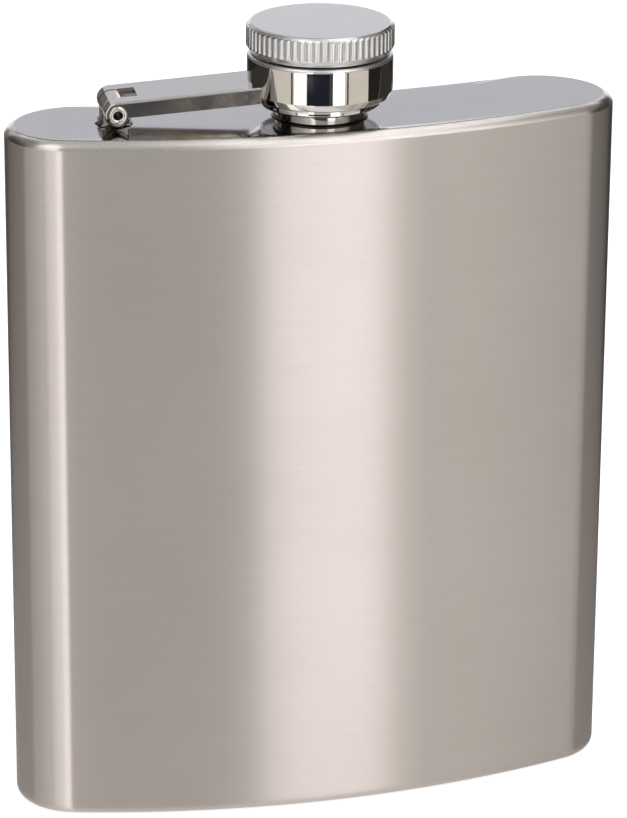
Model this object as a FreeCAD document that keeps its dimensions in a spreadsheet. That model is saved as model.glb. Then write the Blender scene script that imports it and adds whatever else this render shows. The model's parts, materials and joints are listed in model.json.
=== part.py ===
import FreeCAD, Part
import math
import os
import re

import Sketcher

# Hip flask with a captive screw top. Millimetres, +Z up, front towards -Y.
# Origin: the base plane, on the axis of the neck.

SHEET_NAME = "Sizes"

SIZES = {
    # body, in plan a kidney: convex front, concave back
    "body_width": 92.0,
    "body_depth": 22.2,
    "body_height": 105.8,
    "front_radius": 138.0,
    "front_corner_radius": 9.4,
    "back_radius": 177.0,
    "wall_thickness": 0.6,
    "top_thickness": 0.8,
    "top_edge_radius": 1.4,
    "top_skirt": 1.8,
    "base_thickness": 0.8,
    "base_edge_radius": 1.5,
    "base_skirt": 2.2,
    # neck
    "neck_bore_radius": 5.0,
    "neck_base_radius": 6.6,
    "neck_base_height": 1.9,
    "neck_root_radius": 5.9,
    "neck_height": 7.2,
    "neck_rim_chamfer": 0.3,
    "neck_flange_radius": 8.6,
    "neck_flange_thickness": 0.8,
    "thread_pitch": 1.5,
    "thread_sink": 0.1,
    "thread_depth": 0.4,
    "thread_flank": 0.45,
    "thread_crest": 0.35,
    "thread_start": 0.6,
    "thread_length": 3.4,
    # hinge
    "hinge_inset": 15.9,
    "arm_turn": 5.6,
    "arm_rise": 3.8,
    "pin_height": 2.5,
    "pin_radius": 1.0,
    "pin_hole_radius": 0.62,
    "pin_head_radius": 1.35,
    "pin_head_thickness": 0.25,
    "knuckle_radius": 1.9,
    "pin_running_gap": 0.05,
    "lug_width": 4.0,
    "lug_side_gap": 0.3,
    "lug_foot_length": 4.4,
    "lug_foot_thickness": 0.55,
    # strap
    "arm_width": 10.0,
    "arm_sheet": 0.9,
    "arm_flange_depth": 2.4,
    "slot_length": 3.3,
    "arm_edge_radius": 0.3,
    # cup
    "cup_radius": 10.65,
    "cup_wall": 0.95,
    "cup_bottom": 2.85,
    "cup_height": 6.7,
    "cup_bevel_width": 1.45,
    "cup_bevel_height": 1.4,
    "cup_rim_radius": 0.45,
    "web_thickness": 0.6,
    "web_recess": 0.95,
    # retaining ring
    "ring_radius": 8.9,
    "ring_running_gap": 0.1,
    "ring_height": 1.0,
    "ring_bottom": 1.95,
    "ring_bevel_width": 0.2,
    "ring_bevel_height": 0.2,
    # cap
    "sleeve_radius": 7.7,
    "sleeve_running_gap": 0.06,
    "sleeve_lip_radius": 8.2,
    "sleeve_lip_height": 0.45,
    "sleeve_lip_lift": 0.05,
    "lip_running_gap": 0.05,
    "sleeve_thread_gap": 0.5,
    "sleeve_insert": 0.9,
    "seal_thickness": 1.2,
    "seal_gap": 0.1,
    "seal_side_gap": 0.1,
    "head_radius": 10.8,
    "head_top": 14.1,
    "head_height": 4.3,
    "head_bevel_width": 0.65,
    "head_bevel_height": 0.6,
    "head_chamfer": 0.35,
}

CELLS = {alias: f"{SHEET_NAME}.{alias}" for alias in SIZES}

# How a sketch numbers the points of an edge, and its own axes.
START, END, CENTRE = range(1, 4)
HORIZONTAL_AXIS, VERTICAL_AXIS = range(-1, -3, -1)
SKETCH_ORIGIN = (HORIZONTAL_AXIS, START)
FULL_TURN = 360.0
TOLERANCE = 1e-6

doc = FreeCAD.newDocument("HipFlask")


def make_sheet():
    """The driving dimensions, one aliased cell each."""
    sheet = doc.addObject("Spreadsheet::Sheet", SHEET_NAME)
    for row, (alias, value) in enumerate(SIZES.items(), start=1):
        sheet.set(f"A{row}", alias)
        sheet.set(f"B{row}", str(value))
        sheet.setAlias(f"B{row}", alias)
    doc.recompute()
    return sheet


sheet = make_sheet()


def bound(text):
    """The expression text with each size's alias pointed at its cell."""
    return re.sub(r"[a-z_]+", lambda found: CELLS.get(found.group(), found.group()), text)


def value_of(text):
    """The number that an expression over the sizes gives."""
    number = sheet.evalExpression(bound(text))
    return float(getattr(number, "Value", number))


def new_body(label):
    """An empty body for one piece."""
    body = doc.addObject("PartDesign::Body", label)
    body.Label = label
    return body


def origin_plane(body, role):
    """One of the body's own base planes."""
    return next(item for item in body.Origin.OriginFeatures if item.Role == role)


def new_sketch(body, name, role, offset="0"):
    """A sketch on one of the body's base planes, moved along its normal."""
    sketch = body.newObject("Sketcher::SketchObject", name)
    sketch.AttachmentSupport = (origin_plane(body, role), "")
    sketch.MapMode = "FlatFace"
    if offset != "0":
        sketch.setExpression(".AttachmentOffset.Base.z", bound(offset))
    return sketch


def bind_distance(sketch, kind, geometry, point, text):
    """Tie a point's distance from the sketch origin to an expression."""
    value = value_of(text)
    index = sketch.addConstraint(Sketcher.Constraint(kind, *SKETCH_ORIGIN, geometry, point, value))
    sketch.setExpression(f"Constraints[{index}]", bound(text))


def bind_radius(sketch, geometry, text):
    """Tie the radius of a circle or arc to an expression."""
    index = sketch.addConstraint(Sketcher.Constraint("Radius", geometry, value_of(text)))
    sketch.setExpression(f"Constraints[{index}]", bound(text))


def polygon(body, name, role, corners, offset="0"):
    """A closed polygon whose corners are tied to the sizes."""
    sketch = new_sketch(body, name, role, offset)
    points = [FreeCAD.Vector(value_of(x), value_of(y), 0) for x, y in corners]
    for start, end in zip(points, points[1:] + points[:1]):
        sketch.addGeometry(Part.LineSegment(start, end))
    for index, (x, y) in enumerate(corners):
        following = (index + 1) % len(corners)
        sketch.addConstraint(
            Sketcher.Constraint("Coincident", index, END, following, START))
        if x == "0":
            sketch.addConstraint(Sketcher.Constraint("PointOnObject", index, START, VERTICAL_AXIS))
        else:
            bind_distance(sketch, "DistanceX", index, START, x)
        if y == "0":
            sketch.addConstraint(Sketcher.Constraint("PointOnObject", index, START, HORIZONTAL_AXIS))
        else:
            bind_distance(sketch, "DistanceY", index, START, y)
    return sketch


def circle(body, name, role, radius, offset="0"):
    """A circle about the sketch origin."""
    sketch = new_sketch(body, name, role, offset)
    sketch.addGeometry(Part.Circle(FreeCAD.Vector(), FreeCAD.Vector(0, 0, 1), value_of(radius)))
    sketch.addConstraint(Sketcher.Constraint("Coincident", 0, CENTRE, *SKETCH_ORIGIN))
    bind_radius(sketch, 0, radius)
    return sketch


def kidney(body, name, inset, offset="0"):
    """The body's plan outline moved inwards: front, corners and back as tangent arcs."""
    sketch = new_sketch(body, name, "XY_Plane", offset)
    inward = value_of(inset)
    half_width = value_of("body_width / 2")
    front_radius = value_of("front_radius")
    corner_radius = value_of("front_corner_radius")
    back_radius = value_of("back_radius")
    front_y = value_of("front_radius - body_depth / 2")
    back_y = value_of("back_radius + body_depth / 2")
    corner_x = half_width - corner_radius
    corner_y = front_y - math.sqrt((front_radius - corner_radius) ** 2 - corner_x ** 2)
    drop = back_y - corner_y
    rear_radius = (half_width ** 2 + drop ** 2 - back_radius ** 2) / (2 * (back_radius + half_width))
    rear_x = half_width - rear_radius
    front_end = math.atan2(corner_y - front_y, corner_x)
    rear_end = math.atan2(drop, -rear_x)
    arcs = (
        (0, front_y, front_radius - inward, -math.pi - front_end, front_end),
        (corner_x, corner_y, corner_radius - inward, front_end, 0),
        (rear_x, corner_y, rear_radius - inward, 0, rear_end),
        (0, back_y, back_radius + inward, -rear_end, rear_end - math.pi),
        (-rear_x, corner_y, rear_radius - inward, math.pi - rear_end, math.pi),
        (-corner_x, corner_y, corner_radius - inward, math.pi, math.pi - front_end),
    )
    for x, y, radius, start, end in arcs:
        whole = Part.Circle(FreeCAD.Vector(x, y, 0), FreeCAD.Vector(0, 0, 1), radius)
        sketch.addGeometry(Part.ArcOfCircle(whole, start, end))
    front, right_corner, right_rear, back, left_rear, left_corner = range(len(arcs))
    joints = (
        (front, END, right_corner, START),
        (right_corner, END, right_rear, START),
        (right_rear, END, back, END),
        (back, START, left_rear, START),
        (left_rear, END, left_corner, START),
        (left_corner, END, front, START),
    )
    for joint in joints:
        sketch.addConstraint(Sketcher.Constraint("Tangent", *joint))
    for centred in (front, back):
        sketch.addConstraint(Sketcher.Constraint("PointOnObject", centred, CENTRE, VERTICAL_AXIS))
    sketch.addConstraint(Sketcher.Constraint("Equal", right_corner, left_corner))
    sketch.addConstraint(Sketcher.Constraint("Equal", right_rear, left_rear))
    sketch.addConstraint(Sketcher.Constraint("Horizontal", right_corner, CENTRE, right_rear, CENTRE))
    sketch.addConstraint(Sketcher.Constraint("Horizontal", left_corner, CENTRE, left_rear, CENTRE))
    bind_radius(sketch, front, f"front_radius - {inset}")
    bind_radius(sketch, right_corner, f"front_corner_radius - {inset}")
    bind_radius(sketch, back, f"back_radius + {inset}")
    bind_distance(sketch, "DistanceY", front, CENTRE, "front_radius - body_depth / 2")
    bind_distance(sketch, "DistanceY", back, CENTRE, "back_radius + body_depth / 2")
    bind_distance(sketch, "DistanceX", right_corner, END, f"body_width / 2 - {inset}")
    return sketch


def pad(body, name, sketch, length, symmetric=False):
    """Raise a sketch into a solid, along its normal or evenly to both sides."""
    feature = body.newObject("PartDesign::Pad", name)
    feature.Profile = sketch
    feature.setExpression("Length", bound(length))
    if symmetric:
        feature.SideType = "Symmetric"
    return feature


def pocket(body, name, sketch, length, symmetric=False, upward=False):
    """Cut a sketch out of the body, and make sure that it cuts something."""
    doc.recompute()
    before = body.Shape.Volume
    feature = body.newObject("PartDesign::Pocket", name)
    feature.Profile = sketch
    feature.setExpression("Length", bound(length))
    feature.Reversed = upward
    if symmetric:
        feature.SideType = "Symmetric"
    doc.recompute()
    if body.Shape.Volume >= before:
        raise RuntimeError(f"{body.Label}: {name} cuts nothing")
    return feature


def revolution(body, name, sketch):
    """Turn a profile about its sketch's vertical axis."""
    feature = body.newObject("PartDesign::Revolution", name)
    feature.Profile = sketch
    feature.ReferenceAxis = (sketch, ["V_Axis"])
    feature.Angle = FULL_TURN
    return feature


def fillet(body, name, radius, wanted):
    """Round those edges of the body that the test picks."""
    doc.recompute()
    base = body.Tip
    picked = [f"Edge{n}" for n, edge in enumerate(base.Shape.Edges, start=1) if wanted(edge)]
    feature = body.newObject("PartDesign::Fillet", name)
    feature.Base = (base, picked)
    feature.setExpression("Radius", bound(radius))
    return feature


def flat_at(edge, height):
    """Whether the whole edge lies at one height."""
    box = edge.BoundBox
    return abs(box.ZMin - height) < TOLERANCE and abs(box.ZMax - height) < TOLERANCE


def make_body_wall():
    """The sleeve between the two closing plates."""
    body = new_body("body_wall")
    outer = kidney(body, "wall_outside", "0", "base_skirt")
    pad(body, "wall_pad", outer, "body_height - top_skirt - base_skirt")
    inner = kidney(body, "wall_inside", "wall_thickness", "base_skirt")
    pocket(body, "wall_hollow", inner, "body_height", upward=True)
    return body


def make_top_plate():
    """The closing plate with its rounded edge and the hole for the neck."""
    body = new_body("top_plate")
    outer = kidney(body, "top_outside", "0", "body_height - top_skirt")
    pad(body, "top_pad", outer, "top_skirt")
    height = value_of("body_height")
    fillet(body, "top_edge", "top_edge_radius", lambda edge: flat_at(edge, height))
    inner = kidney(body, "top_inside", "wall_thickness", "body_height - top_skirt")
    pocket(body, "top_hollow", inner, "top_skirt - top_thickness", upward=True)
    hole = circle(body, "neck_hole_outline", "XY_Plane", "neck_base_radius", "body_height")
    pocket(body, "neck_hole", hole, "top_skirt")
    return body


def make_base_plate():
    """The closing plate that the flask stands on."""
    body = new_body("base_plate")
    outer = kidney(body, "base_outside", "0")
    pad(body, "base_pad", outer, "base_skirt")
    fillet(body, "base_edge", "base_edge_radius", lambda edge: flat_at(edge, 0.0))
    inner = kidney(body, "base_inside", "wall_thickness", "base_skirt")
    pocket(body, "base_hollow", inner, "base_skirt - base_thickness")
    return body


def helix(body, kind, surface, foot):
    """A screw thread that stands out of, or is cut into, a round surface."""
    ridge = polygon(body, "thread_profile", "XZ_Plane", [
        (f"{surface} - thread_sink", foot),
        (f"{surface} + thread_depth", f"{foot} + thread_flank"),
        (f"{surface} + thread_depth", f"{foot} + thread_flank + thread_crest"),
        (f"{surface} - thread_sink", f"{foot} + 2 * thread_flank + thread_crest"),
    ])
    doc.recompute()
    before = body.Shape.Volume
    thread = body.newObject(kind, "thread")
    thread.Profile = ridge
    thread.ReferenceAxis = (ridge, ["V_Axis"])
    thread.Mode = "pitch-height-angle"
    thread.setExpression("Pitch", bound("thread_pitch"))
    thread.setExpression("Height", bound("thread_length"))
    doc.recompute()
    if body.Shape.Volume == before:
        raise RuntimeError(f"{body.Label}: the thread changes nothing")
    return thread


def make_neck():
    """The spout: a flange under the top plate, a polished root and the thread."""
    body = new_body("neck")
    plate_under = "body_height - top_thickness"
    flange_under = f"{plate_under} - neck_flange_thickness"
    shoulder = "body_height + neck_base_height"
    rim = "body_height + neck_height"
    profile = polygon(body, "neck_profile", "XZ_Plane", [
        ("neck_bore_radius", flange_under),
        ("neck_flange_radius", flange_under),
        ("neck_flange_radius", plate_under),
        ("neck_base_radius", plate_under),
        ("neck_base_radius", shoulder),
        ("neck_root_radius", shoulder),
        ("neck_root_radius", f"{rim} - neck_rim_chamfer"),
        ("neck_root_radius - neck_rim_chamfer", rim),
        ("neck_bore_radius", rim),
    ])
    revolution(body, "neck_turned", profile)
    helix(body, "PartDesign::AdditiveHelix", "neck_root_radius", f"{shoulder} + thread_start")
    return body


def hinge_distance():
    """How far to the left of the neck's axis the hinge stands."""
    return "(body_width / 2 - hinge_inset)"


def arm_reach():
    """The level distance between the neck's axis and the pin's."""
    return f"({hinge_distance()} / cos(arm_turn * 1deg))"


def place_at_hinge(body, tilt):
    """Put a body made about the hinge pin where the pin is, tilted about it."""
    where = f"-{hinge_distance()}; {hinge_distance()} * tan(arm_turn * 1deg)"
    spot = f"create(<<vector>>; {where}; body_height + pin_height)"
    turn = f"create(<<rotation>>; -arm_turn; {tilt}; 0)"
    body.setExpression("Placement", bound(f"create(<<placement>>; {spot}; {turn})"))


def make_hinge_lug():
    """The middle knuckle on its foot, welded to the top plate."""
    body = new_body("hinge_lug")
    foot_top = "lug_foot_thickness - pin_height"
    outline = polygon(body, "lug_side", "XZ_Plane", [
        ("-lug_foot_length / 2", "-pin_height"),
        ("lug_foot_length / 2", "-pin_height"),
        ("lug_foot_length / 2", foot_top),
        ("knuckle_radius", foot_top),
        ("knuckle_radius", "0"),
        ("-knuckle_radius", "0"),
        ("-knuckle_radius", foot_top),
        ("-lug_foot_length / 2", foot_top),
    ])
    pad(body, "lug_pad", outline, "lug_width", symmetric=True)
    barrel = circle(body, "lug_round", "XZ_Plane", "knuckle_radius")
    pad(body, "lug_barrel", barrel, "lug_width", symmetric=True)
    bore = circle(body, "lug_bore_outline", "XZ_Plane", "pin_radius + pin_running_gap")
    pocket(body, "lug_bore", bore, "2 * lug_width", symmetric=True)
    place_at_hinge(body, "0")
    return body


def make_arm_strap():
    """The channel strap with its two knuckles, trimmed to the round of the cup."""
    blank = new_body("strap_blank")
    flange_under = "knuckle_radius - arm_flange_depth"
    strap_end = f"{arm_reach()} - cup_radius / 2"
    side = polygon(blank, "strap_side", "XZ_Plane", [
        ("0", "knuckle_radius"),
        ("0", flange_under),
        (strap_end, flange_under),
        (strap_end, "knuckle_radius"),
    ])
    pad(blank, "strap_pad", side, "arm_width", symmetric=True)
    barrel = circle(blank, "knuckle_round", "XZ_Plane", "knuckle_radius")
    pad(blank, "knuckles", barrel, "arm_width", symmetric=True)
    channel = polygon(blank, "channel_side", "XZ_Plane", [
        ("knuckle_radius", "-knuckle_radius"),
        ("knuckle_radius", "knuckle_radius - arm_sheet"),
        (arm_reach(), "knuckle_radius - arm_sheet"),
        (arm_reach(), "-knuckle_radius"),
    ])
    pocket(blank, "channel", channel, "arm_width - 2 * arm_sheet", symmetric=True)
    slot = polygon(blank, "slot_side", "XZ_Plane", [
        ("-2 * knuckle_radius", "-2 * knuckle_radius"),
        ("slot_length", "-2 * knuckle_radius"),
        ("slot_length", "2 * knuckle_radius"),
        ("-2 * knuckle_radius", "2 * knuckle_radius"),
    ])
    pocket(blank, "slot", slot, "lug_width + 2 * lug_side_gap", symmetric=True)
    bore = circle(blank, "knuckle_bore_outline", "XZ_Plane", "pin_radius")
    pocket(blank, "knuckle_bore", bore, "2 * arm_width", symmetric=True)
    side_y = value_of("arm_width / 2")
    top_z = value_of("knuckle_radius")
    fillet(blank, "strap_edges", "arm_edge_radius",
           lambda edge: flat_at(edge, top_z) and abs(abs(edge.CenterOfMass.y) - side_y) < TOLERANCE)
    place_at_hinge(blank, "-arm_rise")
    trim = doc.addObject("Part::Cylinder", "cup_room")
    trim.setExpression("Radius", bound("cup_radius"))
    trim.setExpression("Height", bound("2 * body_height"))
    strap = doc.addObject("Part::Cut", "arm_strap")
    strap.Base = blank
    strap.Tool = trim
    strap.Label = "arm_strap"
    return strap


def make_hinge_pin():
    """The tubular rivet through the three knuckles."""
    body = new_body("hinge_pin")
    face = "arm_width / 2"
    end = f"{face} + pin_head_thickness"
    profile = polygon(body, "pin_profile", "XY_Plane", [
        ("pin_hole_radius", f"-({end})"),
        ("pin_head_radius", f"-({end})"),
        ("pin_head_radius", f"-({face})"),
        ("pin_radius", f"-({face})"),
        ("pin_radius", face),
        ("pin_head_radius", face),
        ("pin_head_radius", end),
        ("pin_hole_radius", end),
    ])
    revolution(body, "pin_turned", profile)
    place_at_hinge(body, "-arm_rise")
    return body


def make_collar_cup():
    """The cup that the cap turns in, with the web that keeps the cap captive."""
    body = new_body("collar_cup")
    bottom = "body_height + cup_bottom"
    rim = f"{bottom} + cup_height"
    web_top = f"{rim} - web_recess"
    web_under = f"{web_top} - web_thickness"
    inside = "cup_radius - cup_wall"
    ring_room = "ring_radius + ring_running_gap"
    web_hole = "sleeve_radius + sleeve_running_gap"
    profile = polygon(body, "cup_profile", "XZ_Plane", [
        (ring_room, bottom),
        ("cup_radius - cup_bevel_width", bottom),
        ("cup_radius", f"{bottom} + cup_bevel_height"),
        ("cup_radius", rim),
        (inside, rim),
        (inside, web_top),
        (web_hole, web_top),
        (web_hole, web_under),
        (ring_room, web_under),
    ])
    revolution(body, "cup_turned", profile)
    rim_height = value_of(rim)
    fillet(body, "cup_rim", "cup_rim_radius", lambda edge: flat_at(edge, rim_height))
    return body


def make_retaining_ring():
    """The ring on the sleeve's lip that cannot pass the web of the cup."""
    body = new_body("retaining_ring")
    bottom = "body_height + ring_bottom"
    top = f"{bottom} + ring_height"
    shoulder = f"{bottom} + sleeve_lip_lift + sleeve_lip_height + lip_running_gap"
    lip_room = "sleeve_lip_radius + lip_running_gap"
    bore = "sleeve_radius + lip_running_gap"
    profile = polygon(body, "ring_profile", "XZ_Plane", [
        (lip_room, bottom),
        ("ring_radius - ring_bevel_width", bottom),
        ("ring_radius", f"{bottom} + ring_bevel_height"),
        ("ring_radius", top),
        (bore, top),
        (bore, shoulder),
        (lip_room, shoulder),
    ])
    revolution(body, "ring_turned", profile)
    return body


def sleeve_bore():
    """The radius inside the sleeve, clear of the neck's thread."""
    return "neck_root_radius + thread_depth + sleeve_thread_gap"


def make_cap_sleeve():
    """The sleeve that screws on the neck, with the lip that carries the ring."""
    body = new_body("cap_sleeve")
    bottom = "body_height + ring_bottom + sleeve_lip_lift"
    lip_top = f"{bottom} + sleeve_lip_height"
    roof = "body_height + neck_height + seal_gap + seal_thickness"
    top = "body_height + head_top - head_height + sleeve_insert"
    profile = polygon(body, "sleeve_profile", "XZ_Plane", [
        (sleeve_bore(), bottom),
        ("sleeve_lip_radius", bottom),
        ("sleeve_lip_radius", lip_top),
        ("sleeve_radius", lip_top),
        ("sleeve_radius", top),
        ("0", top),
        ("0", roof),
        (sleeve_bore(), roof),
    ])
    revolution(body, "sleeve_turned", profile)
    helix(body, "PartDesign::SubtractiveHelix", sleeve_bore(), f"{bottom} + thread_start")
    return body


def make_cap_seal():
    """The soft disc in the roof of the sleeve, just above the neck's rim."""
    seal = doc.addObject("Part::Cylinder", "cap_seal")
    seal.Label = "cap_seal"
    seal.setExpression("Radius", bound(f"{sleeve_bore()} - seal_side_gap"))
    seal.setExpression("Height", bound("seal_thickness"))
    seal.setExpression("Placement.Base.z", bound("body_height + neck_height + seal_gap"))
    return seal


def make_cap_head():
    """The knurled head that the fingers turn, pressed over the sleeve."""
    body = new_body("cap_head")
    top = "body_height + head_top"
    bottom = f"{top} - head_height"
    socket_roof = f"{bottom} + sleeve_insert"
    profile = polygon(body, "head_profile", "XZ_Plane", [
        ("0", socket_roof),
        ("sleeve_radius", socket_roof),
        ("sleeve_radius", bottom),
        ("head_radius - head_chamfer", bottom),
        ("head_radius", f"{bottom} + head_chamfer"),
        ("head_radius", f"{top} - head_bevel_height"),
        ("head_radius - head_bevel_width", top),
        ("0", top),
    ])
    revolution(body, "head_turned", profile)
    return body


def check(pieces):
    """Stop if any object failed or any piece is empty or invalid."""
    for item in doc.Objects:
        if "Invalid" in item.State or "Error" in item.State:
            raise RuntimeError(f"{item.Label}: {item.State}")
    for piece in pieces:
        if piece.Shape.isNull() or not piece.Shape.isValid():
            raise RuntimeError(f"{piece.Label}: no valid shape")


def main():
    """Build every piece, check it and write it."""
    makers = (
        make_body_wall, make_top_plate, make_base_plate, make_neck, make_hinge_lug,
        make_arm_strap, make_hinge_pin, make_collar_cup, make_retaining_ring,
        make_cap_sleeve, make_cap_seal, make_cap_head,
    )
    pieces = [maker() for maker in makers]
    doc.recompute()
    check(pieces)
    os.makedirs("parts", exist_ok=True)
    for piece in pieces:
        piece.Shape.exportStep(os.path.join("parts", f"{piece.Label}.step"))
        print(f"{piece.Label}: {len(piece.Shape.Solids)} solid, {piece.Shape.Volume:.1f} mm3")


main()
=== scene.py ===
import json
import logging
import math
from abc import ABC, abstractmethod
from dataclasses import dataclass
from enum import Enum
from functools import cache, partial
from typing import Callable, Iterable, Sequence

import bmesh
import bpy
from mathutils import Matrix, Vector


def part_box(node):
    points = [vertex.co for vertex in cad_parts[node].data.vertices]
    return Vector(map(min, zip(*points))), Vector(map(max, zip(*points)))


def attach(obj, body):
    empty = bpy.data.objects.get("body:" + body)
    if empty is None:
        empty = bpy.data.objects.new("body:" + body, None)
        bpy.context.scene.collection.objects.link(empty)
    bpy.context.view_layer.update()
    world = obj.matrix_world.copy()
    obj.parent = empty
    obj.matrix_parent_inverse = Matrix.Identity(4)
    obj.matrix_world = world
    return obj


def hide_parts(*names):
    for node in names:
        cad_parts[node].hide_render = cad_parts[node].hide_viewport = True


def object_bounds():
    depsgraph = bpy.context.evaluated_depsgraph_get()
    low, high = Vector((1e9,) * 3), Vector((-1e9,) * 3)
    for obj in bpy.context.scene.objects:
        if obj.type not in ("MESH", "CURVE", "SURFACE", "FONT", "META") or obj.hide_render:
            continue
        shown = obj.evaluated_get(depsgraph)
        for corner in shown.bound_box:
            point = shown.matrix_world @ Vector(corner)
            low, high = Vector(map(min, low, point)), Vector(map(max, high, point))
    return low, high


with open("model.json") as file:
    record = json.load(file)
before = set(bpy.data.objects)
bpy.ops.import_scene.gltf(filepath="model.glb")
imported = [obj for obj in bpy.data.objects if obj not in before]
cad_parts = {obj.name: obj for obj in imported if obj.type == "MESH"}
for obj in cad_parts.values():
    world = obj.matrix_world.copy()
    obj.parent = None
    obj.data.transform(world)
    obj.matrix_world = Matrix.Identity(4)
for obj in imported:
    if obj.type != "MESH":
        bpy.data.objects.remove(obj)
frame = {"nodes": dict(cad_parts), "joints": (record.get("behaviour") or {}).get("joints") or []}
CAD_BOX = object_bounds()

# Lengths are in metres. The neck's axis is the Z axis, and the flask's front faces -Y.
LOG = logging.getLogger("hip_flask")
MM = 0.001
TURN = 2.0 * math.pi
SAME_POINT = 1e-6  # points that are nearer than this are one
SLIGHT_ANGLE = 1e-3  # a corner that is nearer than this to flat or closed isn't rounded
WHITE = (1.0, 1.0, 1.0, 1.0)
NOISE_SPAN = (0.3, 0.7)  # where most of a noise lies

Pair = tuple[float, float]
Triple = tuple[float, float, float]
Ring = list[Vector]
Profile = list[Pair]
Colour = Triple
Relief = Callable[[float, float], float]
Piece = bpy.types.Object
Material = bpy.types.Material
Socket = bpy.types.NodeSocket


class Body(Enum):
    """The moving bodies that a piece can ride on."""

    FLASK = "flask"
    ARM = "arm"
    CARRIER = "cap_carrier"
    CAP = "cap"


class Slot(Enum):
    """The finishes that the record names."""

    WALL = "wall_steel"
    PLATE = "plate_steel"
    NECK = "neck_steel"
    HINGE = "hinge_chrome"
    CUP = "cup_chrome"
    HEAD = "head_steel"
    SLEEVE = "sleeve_steel"
    SEAL = "seal_rubber"


# ---------------------------------------------------------------- mesh making


def circle(radius: float, height: float, segments: int, relief: Relief | None = None) -> Ring:
    """A level ring of points about the neck's axis.

    Args:
        radius: The ring's radius; zero gives a pole of one point.
        height: The ring's height.
        segments: How many points a full ring has.
        relief: What to add to the radius at an angle and a height.

    Returns:
        The ring's points, anticlockwise from +X.
    """
    if radius <= 0.0:
        return [Vector((0.0, 0.0, height))]
    points = []
    for step in range(segments):
        angle = TURN * step / segments
        reach = radius + (relief(angle, height) if relief else 0.0)
        points.append(Vector((reach * math.cos(angle), reach * math.sin(angle), height)))
    return points


def rounded(corners: Sequence[Triple], steps: int = 5) -> Profile:
    """A closed profile with its corners rounded.

    Args:
        corners: Radius, height and rounding of each corner, in order.
        steps: How many pieces each rounding is made of.

    Returns:
        The profile's points as radius and height.
    """
    profile: Profile = []
    for index, (x, z, rounding) in enumerate(corners):
        here = Vector((x, z))
        before = (Vector(corners[index - 1][:2]) - here).normalized()
        after = (Vector(corners[(index + 1) % len(corners)][:2]) - here).normalized()
        half = before.angle(after, 0.0) / 2.0
        if rounding <= 0.0 or not SLIGHT_ANGLE < half < math.pi / 2.0 - SLIGHT_ANGLE:
            profile.append((x, z))
            continue
        middle = here + (before + after).normalized() * rounding / math.sin(half)
        first = here + before * rounding / math.tan(half)
        last = here + after * rounding / math.tan(half)
        opening = first - middle
        start = math.atan2(opening.y, opening.x)
        sweep = opening.angle_signed(last - middle)
        for step in range(steps + 1):
            angle = start - sweep * step / steps
            profile.append((middle.x + rounding * math.cos(angle), middle.y + rounding * math.sin(angle)))
    return profile


def divided(profile: Profile, longest: float) -> Profile:
    """A closed profile with its long sides divided into equal pieces.

    Args:
        profile: The closed profile.
        longest: The greatest length of a piece.

    Returns:
        The divided profile.
    """
    points: Profile = []
    for (x0, z0), (x1, z1) in zip(profile, [*profile[1:], profile[0]]):
        pieces = max(1, math.ceil(math.hypot(x1 - x0, z1 - z0) / longest))
        points += [(x0 + (x1 - x0) * n / pieces, z0 + (z1 - z0) * n / pieces) for n in range(pieces)]
    return points


def skin(name: str, rings: Sequence[Ring], closed: bool = True) -> Piece:
    """A mesh stretched over rings of points.

    Args:
        name: The piece's name.
        rings: The rings in order; a ring of one point is a pole.
        closed: Whether the last ring joins the first.

    Returns:
        The finished piece, linked to the scene.
    """
    shape = bmesh.new()
    rows = [[shape.verts.new(point) for point in ring] for ring in rings]
    pairs = list(zip(rows, rows[1:]))
    if closed:
        pairs.append((rows[-1], rows[0]))
    for low, high in pairs:
        count = max(len(low), len(high))
        for n in range(count if count > 1 else 0):
            m = (n + 1) % count
            corners = (low[n % len(low)], low[m % len(low)], high[m % len(high)], high[n % len(high)])
            shape.faces.new(tuple(dict.fromkeys(corners)))
    bmesh.ops.recalc_face_normals(shape, faces=shape.faces)
    return from_shape(name, shape)


def from_shape(name: str, shape: bmesh.types.BMesh) -> Piece:
    """A linked object made from a bmesh, which is freed.

    Args:
        name: The piece's name.
        shape: Its bmesh.

    Returns:
        The piece.
    """
    mesh = bpy.data.meshes.new(name)
    shape.to_mesh(mesh)
    shape.free()
    piece = bpy.data.objects.new(name, mesh)
    bpy.context.scene.collection.objects.link(piece)
    return piece


def turned(name: str, profile: Profile, segments: int) -> Piece:
    """A piece turned about the neck's axis from a closed profile."""
    return skin(name, [circle(x, z, segments) for x, z in profile])


def baked(piece: Piece) -> Piece:
    """The piece with its modifiers turned into plain mesh and removed.

    Args:
        piece: The piece.

    Returns:
        The same piece.
    """
    bpy.context.view_layer.update()
    graph = bpy.context.evaluated_depsgraph_get()
    mesh = bpy.data.meshes.new_from_object(piece.evaluated_get(graph), depsgraph=graph)
    piece.modifiers.clear()
    piece.data = mesh
    return piece


def smoothed(piece: Piece, crease_deg: float = 38.0) -> Piece:
    """The piece shaded smooth up to a crease angle, its flats kept flat.

    Args:
        piece: The piece.
        crease_deg: Edges that are sharper than this stay sharp.

    Returns:
        The same piece.
    """
    for face in piece.data.polygons:
        face.use_smooth = True
    piece.data.set_sharp_from_angle(angle=math.radians(crease_deg))
    weights = piece.modifiers.new("even_shading", "WEIGHTED_NORMAL")
    weights.mode = "FACE_AREA"
    weights.weight = 100
    weights.keep_sharp = True
    return baked(piece)


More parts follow.
